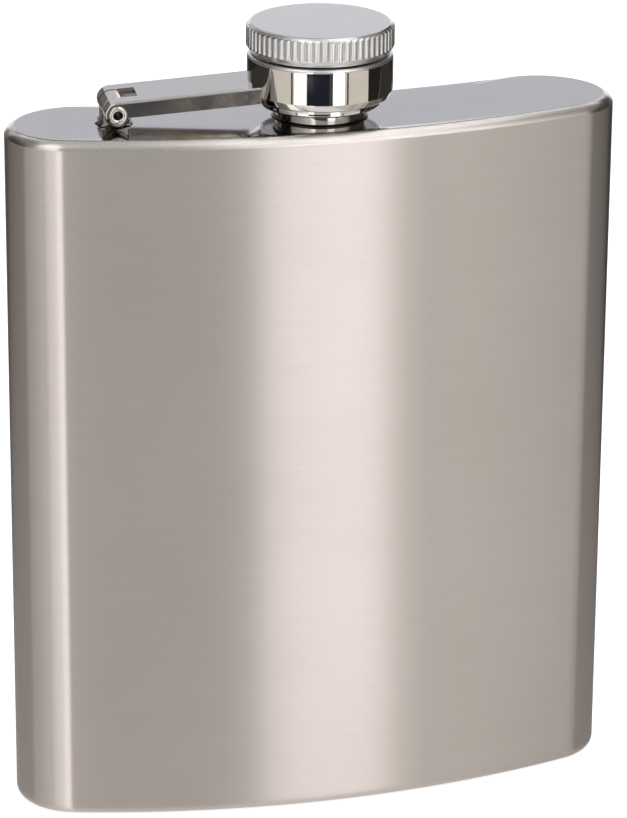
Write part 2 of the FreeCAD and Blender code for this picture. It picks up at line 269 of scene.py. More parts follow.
def eased_copy(name: str, node: str, easing: float, segments: int = 3, flat_deg: float = 0.5,
               corner_deg: float = 40.0) -> Piece:
    """A copy of a CAD node with its loose faces joined and its edges eased.

    Args:
        name: The new piece's name.
        node: The CAD node.
        easing: The width of the easing on its edges.
        segments: How many steps the easing has.
        flat_deg: Faces that meet at less than this become one.
        corner_deg: Edges that are sharper than this are eased.

    Returns:
        The new piece.
    """
    shape = bmesh.new()
    shape.from_mesh(frame["nodes"][node].data)
    bmesh.ops.remove_doubles(shape, verts=shape.verts, dist=SAME_POINT)
    bmesh.ops.dissolve_limit(shape, angle_limit=math.radians(flat_deg), verts=shape.verts,
                             edges=shape.edges)
    piece = from_shape(name, shape)
    bevel = piece.modifiers.new("easing", "BEVEL")
    bevel.width = easing
    bevel.segments = segments
    bevel.limit_method = "ANGLE"
    bevel.angle_limit = math.radians(corner_deg)
    bevel.use_clamp_overlap = True
    return baked(piece)


# ------------------------------------------------------------------ materials


class Graph:
    """The nodes of a tree while it is being made."""

    def __init__(self, tree: bpy.types.NodeTree) -> None:
        """Start with the tree emptied."""
        self.nodes, self.links = tree.nodes, tree.links
        self.nodes.clear()

    def add(self, kind: str, values: dict | None = None, **settings) -> bpy.types.Node:
        """Add a node.

        Args:
            kind: The node's type.
            values: What to put on its input sockets, by name or number. A socket is linked.
            settings: Its other properties.

        Returns:
            The node.
        """
        node = self.nodes.new(kind)
        for key, value in settings.items():
            setattr(node, key, value)
        for key, value in (values or {}).items():
            if isinstance(value, Socket):
                self.links.new(value, node.inputs[key])
            else:
                node.inputs[key].default_value = value
        return node

    def seen(self) -> Socket:
        """Tell the rays that look from those that only carry light.

        Returns:
            1 for a camera, glossy or transmission ray, 0 for the rest.
        """
        path = self.add("ShaderNodeLightPath").outputs
        total = path["Is Camera Ray"]
        for name in ("Is Glossy Ray", "Is Transmission Ray"):
            either = self.add("ShaderNodeMath", {0: total, 1: path[name]}, operation="MAXIMUM")
            total = either.outputs[0]
        return total


class Finish(Graph):
    """The nodes of one material while it is being made."""

    def __init__(self, name: str) -> None:
        """Start an empty material.

        Args:
            name: The material's name.
        """
        self.material = bpy.data.materials.new(name)
        self.material.use_nodes = True
        super().__init__(self.material.node_tree)

    def surface(self, shader: bpy.types.Node) -> Material:
        """The material, completed with its shader."""
        self.add("ShaderNodeOutputMaterial", {"Surface": shader.outputs[0]})
        return self.material

    def pattern(self, scale: float | Triple, detail: float = 3.0, roughness: float = 0.55,
                source: Socket | None = None) -> Socket:
        """A noise on the piece's own coordinates.

        Args:
            scale: How fine it is, in cells a metre; one number, or one for each axis.
            detail: How many finer noises it holds.
            roughness: How strong these are.
            source: The coordinates to use instead of the piece's own.

        Returns:
            The noise, from 0 to 1.
        """
        place = source or self.add("ShaderNodeTexCoord").outputs["Object"]
        stretch = scale if isinstance(scale, tuple) else (scale, scale, scale)
        mapping = self.add("ShaderNodeMapping", {"Vector": place, "Scale": stretch})
        noise = self.add("ShaderNodeTexNoise", {
            "Vector": mapping.outputs["Vector"], "Scale": 1.0, "Detail": detail,
            "Roughness": roughness,
        })
        return noise.outputs[0]

    def spread(self, source: Socket, low: float, high: float, span: Pair = NOISE_SPAN) -> Socket:
        """The source brought from its span into a range, and held there.

        Args:
            source: The value to change.
            low: The range's start.
            high: The range's end.
            span: Where the source lies.

        Returns:
            The changed value.
        """
        node = self.add("ShaderNodeMapRange", {
            "Value": source, "From Min": span[0], "From Max": span[1], "To Min": low, "To Max": high,
        })
        return node.outputs["Result"]

    def about(self, source: Socket, middle: float, change: float, span: Pair = NOISE_SPAN) -> Socket:
        """A value that strays from its middle by up to a change, as the source does in its span."""
        return self.spread(source, middle - change, middle + change, span)

    def sum(self, first: Socket, second: Socket, share: float) -> Socket:
        """First plus a share of second."""
        node = self.add("ShaderNodeMath", {0: second, 1: share, 2: first}, operation="MULTIPLY_ADD")
        return node.outputs[0]

    def blend(self, factor: Socket, low: Colour, high: Colour) -> Socket:
        """A colour between low and high.

        Args:
            factor: 0 for the low colour, 1 for the high one.
            low: One colour.
            high: The other.

        Returns:
            The blended colour.
        """
        node = self.add("ShaderNodeMix", {0: factor, 6: (*low, 1.0), 7: (*high, 1.0)},
                        data_type="RGBA")
        return node.outputs[2]

    def polar(self) -> Socket:
        """The piece's own coordinates as distance from the neck's axis and height.

        Returns:
            The distance as X and the height as Z.
        """
        place = self.add("ShaderNodeTexCoord").outputs["Object"]
        parts = self.add("ShaderNodeSeparateXYZ", {0: place})
        level = self.add("ShaderNodeCombineXYZ", {0: parts.outputs[0], 1: parts.outputs[1]})
        reach = self.add("ShaderNodeVectorMath", {0: level.outputs[0]}, operation="LENGTH")
        both = self.add("ShaderNodeCombineXYZ", {0: reach.outputs["Value"], 2: parts.outputs[2]})
        return both.outputs[0]

    def upright(self) -> Socket:
        """The piece's own upward direction, wherever its body has moved.

        Returns:
            The direction.
        """
        up = self.add("ShaderNodeVectorTransform", {0: (0.0, 0.0, 1.0)}, vector_type="VECTOR",
                      convert_from="OBJECT", convert_to="WORLD")
        return up.outputs[0]

    def metal(self, colour: Socket, roughness: Socket, relief: Socket, depth: float,
              anisotropy: float = 0.0, tangent: Socket | None = None) -> Material:
        """Finish the material as bare metal.

        Args:
            colour: The metal's colour over the surface.
            roughness: Its roughness over the surface.
            relief: The height of its marks.
            depth: How deep the marks are, in metres.
            anisotropy: How far the gloss is drawn out along the tangent.
            tangent: The direction that the gloss is drawn out in.

        Returns:
            The material.
        """
        bump = self.add("ShaderNodeBump", {"Height": relief, "Distance": depth, "Strength": 1.0})
        shader = self.add("ShaderNodeBsdfPrincipled", {
            "Base Color": colour, "Metallic": 1.0, "Roughness": roughness,
            "Anisotropic": anisotropy, "Normal": bump.outputs["Normal"],
        })
        if tangent is not None:
            self.links.new(tangent, shader.inputs["Tangent"])
        return self.surface(shader)


class Look(ABC):
    """A surface that any number of materials can be made with."""

    @abstractmethod
    def painted(self, finish: Finish) -> Material:
        """The finish completed with this look."""

    def material(self, name: str) -> Material:
        """The look as a material of that name."""
        return self.painted(Finish(name))


@dataclass(frozen=True)
class BrushedSteel(Look):
    """Stainless steel brushed with level strokes round the body."""

    colour: Colour = (0.72, 0.67, 0.645)
    shade: Colour = (0.66, 0.61, 0.58)
    roughness: float = 0.30
    roughness_change: float = 0.02
    anisotropy: float = 1.0
    stroke_length: float = 12.0 * MM
    stroke_width: float = 0.10 * MM
    stroke_depth: float = 0.0005 * MM
    stroke_tone: float = 0.6
    stroke_span: Pair = (0.5, 1.0)
    broad_length: float = 3.0
    broad_width: float = 3.5
    broad_share: float = 0.5
    cloud_scale: Triple = (45.0, 45.0, 38.0)
    cloud_share: float = 0.5

    def painted(self, finish: Finish) -> Material:
        """The finish completed with this look.

        Args:
            finish: An empty material.

        Returns:
            The brushed material.
        """
        along, across = 1.0 / self.stroke_length, 1.0 / self.stroke_width
        long = along / self.broad_length
        fine = finish.pattern((along, along, across), detail=2.0)
        broad = finish.pattern((long, long, across / self.broad_width))
        cloud = finish.spread(finish.pattern(self.cloud_scale), 0.0, 1.0)
        strokes = finish.sum(fine, broad, self.broad_share)
        lines = finish.spread(strokes, 0.0, self.stroke_tone, self.stroke_span)
        tone = finish.sum(lines, cloud, self.cloud_share)
        roughness = finish.about(strokes, self.roughness, self.roughness_change, self.stroke_span)
        return finish.metal(finish.blend(tone, self.colour, self.shade), roughness, strokes,
                            self.stroke_depth, self.anisotropy, finish.upright())


@dataclass(frozen=True)
class PolishedSteel(Look):
    """Steel polished almost to a mirror, with a faint haze and a few rubbing marks."""

    colour: Colour = (0.665, 0.65, 0.64)
    shade: Colour = (0.62, 0.605, 0.595)
    roughness: float = 0.075
    haze: float = 0.03
    haze_scale: float = 60.0
    wave_depth: float = 0.0025 * MM
    wave_scale: float = 170.0
    rub_scale: Triple = (700.0, 5200.0, 700.0)
    rub_depth: float = 0.02
    rub_share: float = 0.4
    mark_span: Pair = (0.5, 0.9)

    def painted(self, finish: Finish) -> Material:
        """The finish completed with this look.

        Args:
            finish: An empty material.

        Returns:
            The polished material.
        """
        wave = finish.pattern(self.wave_scale, detail=1.0)
        haze = finish.pattern(self.haze_scale, detail=5.0)
        rub = finish.pattern(self.rub_scale, detail=2.0)
        marks = finish.sum(haze, rub, self.rub_share)
        roughness = finish.about(marks, self.roughness, self.haze, self.mark_span)
        tone = finish.spread(haze, 0.0, 1.0)
        return finish.metal(finish.blend(tone, self.colour, self.shade), roughness,
                            finish.sum(wave, rub, self.rub_depth), self.wave_depth)


@dataclass(frozen=True)
class TurnedSteel(Look):
    """Metal finished on a lathe, with fine rings about the neck's axis."""

    colour: Colour = (0.66, 0.64, 0.625)
    shade: Colour = (0.58, 0.56, 0.54)
    roughness: float = 0.16
    roughness_change: float = 0.05
    ring_width: float = 0.09 * MM
    ring_depth: float = 0.0012 * MM
    ring_tone: float = 0.5
    anisotropy: float = 0.3
    cloud_scale: float = 160.0
    cloud_tone: float = 0.5
    cloud_share: float = 0.8
    mark_span: Pair = (0.6, 1.2)

    def painted(self, finish: Finish) -> Material:
        """The finish completed with this look.

        Args:
            finish: An empty material.

        Returns:
            The turned material.
        """
        across = 1.0 / self.ring_width
        rings = finish.pattern((across, 0.0, across), detail=2.0, source=finish.polar())
        cloud = finish.pattern(self.cloud_scale)
        tone = finish.sum(finish.spread(rings, 0.0, self.ring_tone), finish.spread(cloud, 0.0, 1.0),
                          self.cloud_tone)
        marks = finish.sum(rings, cloud, self.cloud_share)
        roughness = finish.about(marks, self.roughness, self.roughness_change, self.mark_span)
        return finish.metal(finish.blend(tone, self.colour, self.shade), roughness, rings,
                            self.ring_depth, self.anisotropy, finish.upright())


@dataclass(frozen=True)
class SatinSteel(TurnedSteel):
    """Steel with a fine satin face, its rings hardly to be felt."""

    colour: Colour = (0.73, 0.73, 0.73)
    shade: Colour = (0.70, 0.70, 0.705)
    roughness: float = 0.24
    roughness_change: float = 0.025
    ring_depth: float = 0.0004 * MM
    anisotropy: float = 0.0


@dataclass(frozen=True)
class Chrome(Look):
    """Bright plating over pressed steel, mirror-like, with the press's slight waves."""

    colour: Colour = (0.78, 0.765, 0.745)
    shade: Colour = (0.70, 0.685, 0.66)
    roughness: float = 0.05
    haze: float = 0.03
    haze_scale: float = 180.0
    wave_depth: float = 0.004 * MM
    wave_scale: float = 320.0

    def painted(self, finish: Finish) -> Material:
        """The finish completed with this look.

        Args:
            finish: An empty material.

        Returns:
            The plated material.
        """
        wave = finish.pattern(self.wave_scale, detail=2.0)
        haze = finish.pattern(self.haze_scale, detail=5.0)
        roughness = finish.about(haze, self.roughness, self.haze)
        tone = finish.spread(haze, 0.0, 1.0)
        return finish.metal(finish.blend(tone, self.colour, self.shade), roughness, wave,
                            self.wave_depth)


@dataclass(frozen=True)
class Silicone(Look):
    """The soft seal: milky, slightly see-through, with a moulded grain."""

    colour: Colour = (0.78, 0.78, 0.76)
    shade: Colour = (0.70, 0.70, 0.67)
    roughness: float = 0.5
    roughness_change: float = 0.08
    cloud_scale: float = 300.0
    grain_scale: float = 2600.0
    grain_depth: float = 0.01 * MM
    milkiness: float = 0.2
    light_depth: float = 0.5 * MM

    def painted(self, finish: Finish) -> Material:
        """The finish completed with this look.

        Args:
            finish: An empty material.

        Returns:
            The moulded material.
        """
        grain = finish.pattern(self.grain_scale, detail=2.0)
        cloud = finish.pattern(self.cloud_scale)
        bump = finish.add("ShaderNodeBump", {"Height": grain, "Distance": self.grain_depth})
        return finish.surface(finish.add("ShaderNodeBsdfPrincipled", {
            "Base Color": finish.blend(finish.spread(cloud, 0.0, 1.0), self.colour, self.shade),
            "Roughness": finish.about(cloud, self.roughness, self.roughness_change),
            "Subsurface Weight": self.milkiness, "Subsurface Scale": self.light_depth,
            "Normal": bump.outputs["Normal"],
        }))


def dressed(piece: Piece, finish: Material | Sequence[Material], body: Body, slot: Slot,
            *nodes: str) -> None:
    """Give a finished piece its material and its body, and hide the CAD nodes that it stands for.

    Args:
        piece: The piece, in place.
        finish: Its material, or its materials in the order that its faces number them.
        body: The body that it rides on.
        slot: The record's finish; not used.
        nodes: The CAD nodes that it replaces.
    """
    finishes = [finish] if isinstance(finish, Material) else finish
    numbers = [face.material_index for face in piece.data.polygons]
    piece.data.materials.clear()
    for one in finishes:
        piece.data.materials.append(one)
    for face, number in zip(piece.data.polygons, numbers):
        face.material_index = min(number, len(finishes) - 1)
    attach(piece, body.value)
    if nodes:
        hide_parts(*nodes)
    LOG.info("%s: %d faces on %s", piece.name, len(piece.data.polygons), body.value)


class Assembly(ABC):
    """A sub-assembly that makes and dresses its own pieces."""

    @abstractmethod
    def build(self) -> None:
        """Make and dress the pieces."""


# ---------------------------------------------------------------- flask shell


@dataclass(frozen=True)
class Kidney:
    """The body's plan: convex front, concave back, joined by rounded ends."""

    width: float
    depth: float
    front_radius: float = 138.0 * MM
    corner_radius: float = 9.4 * MM
    back_radius: float = 177.0 * MM
    face_steps: int = 220
    end_steps: int = 36

    def ring(self, inset: float, height: float) -> Ring:
        """The outline moved inwards by inset, as a level ring at a height.

        Args:
            inset: How far inside the outer face the ring lies.
            height: The ring's height.

        Returns:
            The ring's points, anticlockwise.
        """
        half = self.width / 2.0
        front_y = self.front_radius - self.depth / 2.0
        back_y = self.back_radius + self.depth / 2.0
        corner_x = half - self.corner_radius
        corner_y = front_y - math.sqrt((self.front_radius - self.corner_radius) ** 2 - corner_x ** 2)
        drop = back_y - corner_y
        rear = (half ** 2 + drop ** 2 - self.back_radius ** 2) / (2.0 * (self.back_radius + half))
        rear_x = half - rear
        front_end = math.atan2(corner_y - front_y, corner_x)
        rear_end = math.atan2(drop, -rear_x)
        # each arc's centre, radius, first and last angle, and steps
        arcs = (
            (0.0, front_y, self.front_radius - inset, -math.pi - front_end, front_end, self.face_steps),
            (corner_x, corner_y, self.corner_radius - inset, front_end, 0.0, self.end_steps),
            (rear_x, corner_y, rear - inset, 0.0, rear_end, self.end_steps),
            (0.0, back_y, self.back_radius + inset, rear_end - math.pi, -rear_end, self.face_steps),
            (-rear_x, corner_y, rear - inset, math.pi - rear_end, math.pi, self.end_steps),
            (-corner_x, corner_y, self.corner_radius - inset, math.pi, math.pi - front_end,
             self.end_steps),
        )
        points: Ring = []
        for x, y, radius, start, end, steps in arcs:
            for step in range(steps):
                angle = start + (end - start) * step / steps
                points.append(Vector((x + radius * math.cos(angle), y + radius * math.sin(angle), height)))
        return points


def inward(ring: Ring, target: float, share: float, height: float) -> Ring:
    """The ring drawn in towards a circle about the neck's axis.

    Args:
        ring: The ring to start from.
        target: The circle's radius.
        share: How far towards the circle, from 0 to 1.
        height: The new ring's height.

    Returns:
        The new ring.
    """
    points = []
    for point in ring:
        level = Vector((point.x, point.y))
        goal = level.normalized() * target
        mixed = level.lerp(goal, share)
        points.append(Vector((mixed.x, mixed.y, height)))
    return points


@dataclass
class FlaskShell(Assembly):
    """The vessel: its brushed wall and the two plates that close it."""

    depth: float = 22.2 * MM
    wall_thickness: float = 0.6 * MM
    top_thickness: float = 0.8 * MM
    top_edge_width: float = 1.5 * MM
    top_edge_crease_deg: float = 26.0
    top_edge_run_out_deg: float = 14.0
    base_thickness: float = 0.8 * MM
    base_edge_width: float = 1.5 * MM
    edge_steps: int = 8
    row_height: float = 6.0 * MM
    neck_hole_radius: float = 6.6 * MM
    top_crease_deg: float = 20.0
    top_shares: Triple = (0.3, 0.7, 1.0)
    base_shares: Pair = (0.5, 0.95)
    flat_normal: float = 0.985
    upright_normal: float = 0.1

    def __post_init__(self) -> None:
        """Take the plan and the heights from the frame."""
        low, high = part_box("body_wall")
        self.outline = Kidney(width=high.x - low.x, depth=self.depth)
        self.wall_low, self.wall_high = low.z, high.z
        self.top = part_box("top_plate")[1].z
        self.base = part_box("base_plate")[0].z

    def wall(self) -> Piece:
        """The sleeve between the plates, outside and inside.

        Returns:
            The wall.
        """
        rows = round((self.wall_high - self.wall_low) / self.row_height)
        heights = [self.wall_low + (self.wall_high - self.wall_low) * n / rows for n in range(rows + 1)]
        rings = [self.outline.ring(0.0, z) for z in heights]
        rings += [self.outline.ring(self.wall_thickness, z) for z in reversed(heights)]
        return smoothed(skin("brushed_wall", rings))

    def edge(self, width: float, height: float, upward: float, crease_deg: float = 0.0,
             run_out_deg: float = 0.0) -> list[Ring]:
        """The rings of a plate's bowed edge, from the wall to the flat.

        Args:
            width: How far the edge reaches in from the wall.
            height: The flat's height.
            upward: 1 for the top plate, -1 for the base.
            crease_deg: The angle at which the edge leaves the wall.
            run_out_deg: The angle at which it meets the flat.

        Returns:
            The rings in order.
        """
        lean = math.radians(90.0 + crease_deg - run_out_deg) / 2.0
        half = math.radians(90.0 - crease_deg - run_out_deg) / 2.0
        rise = width / math.tan(lean)
        bow = width / math.sin(lean) / 2.0 / math.sin(half)
        rings = []
        for step in range(self.edge_steps + 1):
            angle = half * (2.0 * step / self.edge_steps - 1.0)
            along, out = bow * math.sin(angle), bow * (math.cos(angle) - math.cos(half))
            inset = width / 2.0 + along * math.sin(lean) - out * math.cos(lean)
            drop = rise / 2.0 - along * math.cos(lean) - out * math.sin(lean)
            rings.append(self.outline.ring(inset, height - upward * drop))
        return rings

    def top_plate(self) -> Piece:
        """The top plate with its rounded edge and the hole for the neck.

        Returns:
            The plate, its faces numbered as flat, ground edge and upright.
        """
        under = self.top - self.top_thickness
        rings = [self.outline.ring(0.0, self.wall_high)]
        rings += self.edge(self.top_edge_width, self.top, 1.0, self.top_edge_crease_deg,
                           self.top_edge_run_out_deg)
        flat = rings[-1]
        rings += [inward(flat, self.neck_hole_radius, share, self.top) for share in self.top_shares]
        inner = self.outline.ring(self.wall_thickness, under)
        rings += [inward(inner, self.neck_hole_radius, share, under)
                  for share in reversed(self.top_shares)]
        rings += [inner, self.outline.ring(self.wall_thickness, self.wall_high)]
        piece = smoothed(skin("top_plate_polished", rings), self.top_crease_deg)
        for face in piece.data.polygons:
            upright = abs(face.normal.z) < self.upright_normal
            face.material_index = 2 if upright else int(face.normal.z < self.flat_normal)
        return piece

    def base_plate(self) -> Piece:
        """The plate that the flask stands on.

        Returns:
            The plate.
        """
        inside = self.base + self.base_thickness
        inner = self.outline.ring(self.wall_thickness, inside)
        rings = [[Vector((0.0, 0.0, inside))]]
        rings += [inward(inner, 0.0, share, inside) for share in reversed(self.base_shares)]
        rings += [inner, self.outline.ring(self.wall_thickness, self.wall_low)]
        rings += [self.outline.ring(0.0, self.wall_low)]
        rings += self.edge(self.base_edge_width, self.base, -1.0)
        flat = rings[-1]
        rings += [inward(flat, 0.0, share, self.base) for share in self.base_shares]
        rings += [[Vector((0.0, 0.0, self.base))]]
        return smoothed(skin("base_plate_brushed", rings, closed=False))

    def build(self) -> None:
        """Make and dress the wall and both plates."""
        brushed = BrushedSteel().material("brushed_steel")
        dressed(self.wall(), brushed, Body.FLASK, Slot.WALL, "body_wall")
        dressed(self.base_plate(), brushed, Body.FLASK, Slot.PLATE, "base_plate")
        ground = BrushedSteel(colour=(0.72, 0.69, 0.665), shade=(0.58, 0.55, 0.52), roughness=0.27,
                              roughness_change=0.06, stroke_length=3.0 * MM, stroke_width=0.14 * MM,
                              stroke_depth=0.0012 * MM, anisotropy=0.6).material("ground_edge")
        dressed(self.top_plate(), (PolishedSteel().material("polished_plate"), ground, brushed),
                Body.FLASK, Slot.PLATE, "top_plate")


# ------------------------------------------------------------------ neck, cap


@dataclass(frozen=True)
class WeldBead:
    """A low uneven bead of weld round a foot, sunk a little into what it joins.

    On its way up the bead loses the share crown of its width. The smaller fullness is, the
    steeper it starts.
    """

    radius: float
    width: float
    height: float
    sink: float = 0.05 * MM
    lip: float = 0.01 * MM
    crown: float = 0.8
    fullness: float = 0.6
    steps: int = 5
    wander: float = 0.05 * MM
    waves: int = 9
    segments: int = 120
    crease_deg: float = 50.0

    def uneven(self, reach: float, angle: float, _height: float) -> float:
        """How far the bead wanders, at a distance from the foot and an angle."""
        return self.wander * math.sin(self.waves * angle) * max(0.0, min(1.0, reach / self.width))

    def build(self, name: str, middle: Pair, floor: float) -> Piece:
        """The bead as a piece.

        Args:
            name: The piece's name.
            middle: The foot's middle, in the plan.
            floor: The height of the plate that it lies on.

        Returns:
            The bead.
        """
        profile = [(-self.sink, -self.sink), (self.width, -self.sink), (self.width, self.lip)]
        for step in range(1, self.steps + 1):
            share = step / self.steps
            profile.append((self.width * (1.0 - self.crown * share), self.height * share ** self.fullness))
        profile.append((-self.sink, self.height))
        place = Vector((*middle, floor))
        rings = []
        for reach, rise in profile:
            ring = circle(self.radius + reach, rise, self.segments, partial(self.uneven, reach))
            rings.append([point + place for point in ring])
        return smoothed(skin(name, rings), self.crease_deg)


@cache
def weld_steel() -> Material:
    """The dark brown metal that every weld bead shares; the hinge also uses it as painted shade."""
    return TurnedSteel(colour=(0.08, 0.055, 0.04), shade=(0.03, 0.02, 0.014), roughness=0.3,
                       roughness_change=0.08, ring_depth=0.004 * MM, anisotropy=0.0).material("weld")


@dataclass(frozen=True)
class Thread:
    """A screw thread on a round surface."""

    radius: float
    start: float
    pitch: float = 1.5 * MM
    length: float = 3.4 * MM
    depth: float = 0.4 * MM
    flank: float = 0.45 * MM
    crest: float = 0.35 * MM
    run_out: float = 0.12
    segments: int = 144

    def relief(self, angle: float, height: float) -> float:
        """How far the thread stands out.

        Args:
            angle: The angle about the axis, in radians.
            height: The height.

        Returns:
            What the thread adds to the radius there.
        """
        turns = self.length / self.pitch
        best = 0.0
        for lap in range(math.ceil(turns) + 1):
            along = lap + angle / TURN
            if along > turns:
                continue
            offset = height - self.start - along * self.pitch
            if offset <= 0.0 or offset >= 2.0 * self.flank + self.crest:
                continue
            rise = min(offset, 2.0 * self.flank + self.crest - offset) / self.flank
            fade = min(1.0, along / self.run_out, (turns - along) / self.run_out)
            best = max(best, self.depth * min(1.0, rise) * max(0.0, fade))
        return best

    def cut(self, name: str, profile: Profile, row: float) -> Piece:
        """A turned piece that has the thread on its faces of the thread's radius.

        Args:
            name: The piece's name.
            profile: The piece's closed profile.
            row: The greatest height of a row of faces.

        Returns:
            The piece.
        """
        rings = []
        for x, z in divided(profile, row):
            relief = self.relief if abs(x - self.radius) < SAME_POINT else None
            rings.append(circle(x, z, self.segments, relief))
        return smoothed(skin(name, rings))


@dataclass
class Neck(Assembly):
    """The spout: polished root, thread and the flange under the top plate."""

    bore_radius: float = 5.0 * MM
    base_radius: float = 6.6 * MM
    base_height: float = 1.9 * MM
    bead_width: float = 0.5 * MM
    bead_height: float = 0.3 * MM
    root_radius: float = 5.9 * MM
    root_rounding: float = 0.15 * MM
    flange_radius: float = 8.6 * MM
    flange_rounding: float = 0.1 * MM
    plate_thickness: float = 0.8 * MM
    rim_rounding: float = 0.3 * MM
    edge_rounding: float = 0.2 * MM
    thread_gap: float = 0.6 * MM
    thread_row: float = 0.07 * MM

    def build(self) -> None:
        """Make and dress the neck."""
        low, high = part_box("neck")
        plate_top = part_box("top_plate")[1].z
        plate_under = plate_top - self.plate_thickness
        shoulder = plate_top + self.base_height
        thread = Thread(radius=self.root_radius, start=shoulder + self.thread_gap)
        piece = thread.cut("spout", rounded((
            (self.bore_radius, low.z, self.flange_rounding),
            (self.flange_radius, low.z, self.flange_rounding),
            (self.flange_radius, plate_under, 0.0),
            (self.base_radius, plate_under, 0.0),
            (self.base_radius, shoulder, self.edge_rounding),
            (self.root_radius, shoulder, self.root_rounding),
            (self.root_radius, high.z, self.rim_rounding),
            (self.bore_radius, high.z, self.edge_rounding),
        )), self.thread_row)
        polish = TurnedSteel(colour=(0.66, 0.63, 0.60), roughness=0.10).material("neck_polish")
        dressed(piece, polish, Body.FLASK, Slot.NECK, "neck")
        bead = WeldBead(self.base_radius, self.bead_width, self.bead_height)
        dressed(bead.build("neck_bead", (0.0, 0.0), plate_top), weld_steel(), Body.FLASK, Slot.NECK)


@dataclass
class Hinge(Assembly):
    """The lug on the top plate, the channel strap and the tubular pin."""

    easing: float = 0.12 * MM
    foot_bead_radius: float = 1.75 * MM
    foot_bead_width: float = 1.0 * MM
    foot_bead_height: float = 0.45 * MM
    pin_radius: float = 1.0 * MM
    head_radius: float = 1.35 * MM
    head_rise: float = 0.25 * MM
    hole_radius: float = 0.62 * MM
    hole_margin: float = 0.02 * MM
    dome_steps: int = 10
    rivet_segments: int = 64
    rivet_crease_deg: float = 60.0
    side_normal: float = 0.97
    shade_drop: float = 0.5 * MM  # from the pin's middle down to the faces darkened with painted shade

    def axis(self) -> Vector:
        """The direction that the hinge turns about."""
        joint = next(one for one in frame["joints"] if one["name"] == "arm_hinge")
        return Vector(joint["axis"]).normalized()

    def rivet(self) -> Piece:
        """The tubular rivet, its ends rolled over the strap's sides.

        Returns:
            The rivet, its faces numbered as outside and bore.
        """
        low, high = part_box("hinge_pin")
        axis, middle = self.axis(), (low + high) / 2.0
        # the box's width, less what the heads' radius adds to it, measured along the axis
        half = (high.y - low.y - 2.0 * self.head_radius * abs(axis.x)) / abs(axis.y) / 2.0
        head = half - self.head_rise
        centre = (self.hole_radius + self.head_radius) / 2.0
        reach = (self.head_radius - self.hole_radius) / 2.0
        turns = [math.pi * step / self.dome_steps for step in range(self.dome_steps + 1)]
        dome = [(centre - reach * math.cos(turn), head + self.head_rise * math.sin(turn))
                for turn in turns]
        profile = [*dome, (self.pin_radius, head), (self.pin_radius, -head)]
        profile += [(x, -z) for x, z in reversed(dome)]
        piece = turned("rivet", profile, self.rivet_segments)
        # the bore's faces take the second material: painted shade in the hole
        for face in piece.data.polygons:
            face.material_index = int(face.center.xy.length < self.hole_radius + self.hole_margin)
        lean = Vector((0.0, 0.0, 1.0)).rotation_difference(axis).to_matrix().to_4x4()
        piece.data.transform(Matrix.Translation(middle) @ lean)
        return smoothed(piece, self.rivet_crease_deg)

    def pressed(self, name: str, node: str) -> Piece:
        """A plated piece of pressed steel.

        Args:
            name: The piece's name.
            node: The CAD node that has its shape.

        Returns:
            The piece, its faces numbered as plated, sides in painted shade, and lower faces in painted
            shade of the weld's dark brown.
        """
        axis = self.axis()
        pin_low, pin_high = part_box("hinge_pin")
        under = (pin_low.z + pin_high.z) / 2.0 - self.shade_drop
        piece = smoothed(eased_copy(name, node, self.easing))
        # faces low on the knuckle and the lug get painted shade in the weld's dark brown; faces along the
        # axis get the sides' painted shade
        for face in piece.data.polygons:
            below = face.center.z < under and face.center.x < pin_high.x
            side = abs(face.normal.dot(axis)) > self.side_normal
            face.material_index = 2 if below else int(side)
        return piece

    def build(self) -> None:
        """Make and dress the hinge's pieces."""
        plating = Chrome(colour=(0.72, 0.70, 0.675), shade=(0.66, 0.64, 0.61), roughness=0.08,
                         wave_depth=0.008 * MM, wave_scale=330.0).material("hinge_plating")
        # the sides are a darker, browner copy of the plating: painted shade on the faces that look along
        # the hinge's axis
        sides = Chrome(colour=(0.66, 0.64, 0.62), shade=(0.42, 0.36, 0.31), roughness=0.10, haze=0.04,
                       wave_depth=0.012 * MM, wave_scale=520.0).material("hinge_sides_painted_shade")
        # the weld's dark brown: weld tint on the lug's bead, painted shade on the hinge's lower faces and
        # in the rivet's bore
        weld_tint_and_shade = weld_steel()
        looks = (plating, sides, weld_tint_and_shade)
        dressed(self.pressed("lug", "hinge_lug"), looks, Body.FLASK, Slot.HINGE, "hinge_lug")
        dressed(self.pressed("strap", "arm_strap"), looks, Body.ARM, Slot.HINGE, "arm_strap")
        dressed(self.rivet(), (plating, weld_tint_and_shade), Body.ARM, Slot.HINGE, "hinge_pin")
        low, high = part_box("hinge_lug")
        middle = ((low.x + high.x) / 2.0, (low.y + high.y) / 2.0)
        bead = WeldBead(self.foot_bead_radius, self.foot_bead_width, self.foot_bead_height)
        dressed(bead.build("lug_bead", middle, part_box("top_plate")[1].z), weld_tint_and_shade, Body.FLASK, Slot.HINGE)


